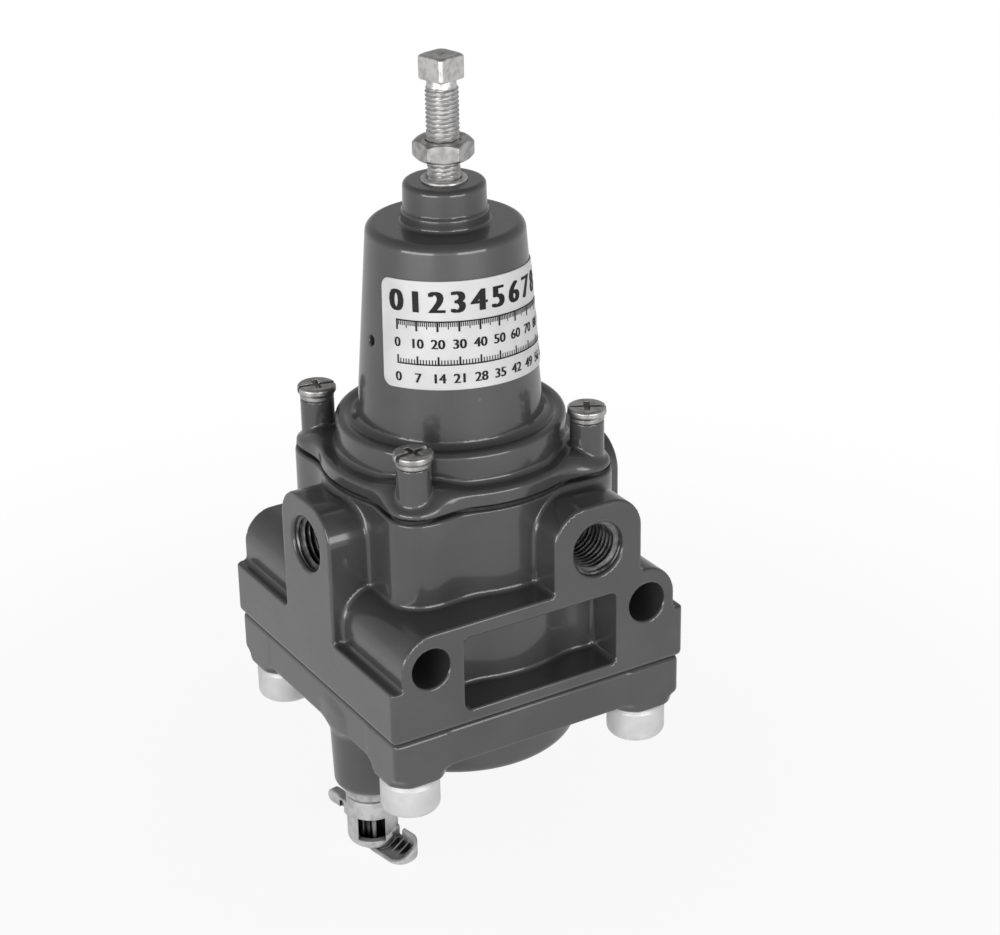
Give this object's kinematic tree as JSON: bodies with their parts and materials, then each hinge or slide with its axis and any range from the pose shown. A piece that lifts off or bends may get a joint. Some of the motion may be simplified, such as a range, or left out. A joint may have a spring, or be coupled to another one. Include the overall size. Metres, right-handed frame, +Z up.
{
  "type": "precision pressure regulator",
  "caption": "Filter regulator with a square ported body, domed spring bonnet, adjusting screw with lock nut, supply valve and winged drain.",
  "frame": {"origin": "middle of the rear mounting face, half way between the two mounting bolt holes", "axes": "+Z up along the adjusting screw, +Y out of the rear face towards the panel, +X from inlet to outlet"},
  "size_m": [0.0826, 0.0825, 0.1978],
  "materials": {
    "cast_paint": "glossy dark grey enamel on a die casting",
    "zinc_steel": "zinc plated steel",
    "screw_grey": "light grey plated cap screw",
    "label_plate": "satin aluminium plate with a plain printed scale",
    "brass": "turned brass",
    "spring_steel": "plated spring wire",
    "rubber": "moulded nitrile rubber",
    "filter_media": "white filter medium",
    "pressed_steel": "pressed and plated plate",
    "drain_grey": "light grey moulded winged cap"
  },
  "bodies": {
    "root": {"body": "cast_paint", "valve_seat": "brass", "aspirator_tube": "brass", "valve_guide": "brass", "filter_gasket_upper": "rubber", "filter_element": "filter_media", "filter_gasket_lower": "rubber", "filter_retainer": "pressed_steel", "filter_nut": "zinc_steel", "cover_seal": "rubber", "bottom_cover": "cast_paint", "cover_screws": "screw_grey", "drain_body": "zinc_steel", "diaphragm": "rubber", "range_spring": "spring_steel", "valve_spring": "spring_steel", "bonnet": "cast_paint", "bonnet_screws": "zinc_steel", "nose_bushing": "zinc_steel", "scale_plate": "label_plate"},
    "spring_seat": {"upper_spring_seat": "zinc_steel"},
    "screw": {"adjusting_screw": "zinc_steel"},
    "lock_nut": {"lock_nut": "zinc_steel"},
    "diaphragm_stack": {"diaphragm_plate_lower": "pressed_steel", "diaphragm_plate_upper": "pressed_steel", "relief_seat_stud": "brass", "diaphragm_nut": "zinc_steel"},
    "valve": {"supply_valve": "brass", "valve_disc": "rubber"},
    "drain_washer": {"drain_seal": "rubber"},
    "drain_wing_cap": {"drain_cap": "drain_grey"}
  },
  "joints": [
    {"name": "screw_advance", "type": "slide", "parent": "root", "child": "spring_seat", "axis": [0, 0, 1], "range_m": [-0.00794, 0.0037], "deforming": ["range_spring"]},
    {"name": "screw_turn", "type": "hinge", "parent": "spring_seat", "child": "screw", "pos_m": [0, -0.04125, 0.108], "axis": [0, 0, 1], "range_deg": [-2700, 1260]},
    {"name": "lock_nut_run", "type": "slide", "parent": "root", "child": "lock_nut", "axis": [0, 0, 1], "range_m": [-0.0042, 0.005]},
    {"name": "diaphragm_travel", "type": "slide", "parent": "root", "child": "diaphragm_stack", "axis": [0, 0, 1], "range_m": [-0.0012, 0], "stiffness_N_per_m": 800, "springref_m": 0.003, "deforming": ["diaphragm", "range_spring"]},
    {"name": "supply_valve_lift", "type": "slide", "parent": "root", "child": "valve", "axis": [0, 0, 1], "range_m": [-0.0012, 0], "deforming": ["valve_spring"]},
    {"name": "drain_advance", "type": "slide", "parent": "root", "child": "drain_washer", "axis": [0, 0, 1], "range_m": [-0.00159, 0]},
    {"name": "drain_turn", "type": "hinge", "parent": "drain_washer", "child": "drain_wing_cap", "pos_m": [-0.031, -0.05025, -0.058], "axis": [0, 0, 1], "range_deg": [-540, 0]}
  ],
  "couplings": [
    {"joint": "screw_turn", "follows": "screw_advance", "rad_per_m": 5936.9},
    {"joint": "supply_valve_lift", "follows": "diaphragm_travel", "ratio": 1},
    {"joint": "drain_turn", "follows": "drain_advance", "rad_per_m": 5936.9}
  ]
}
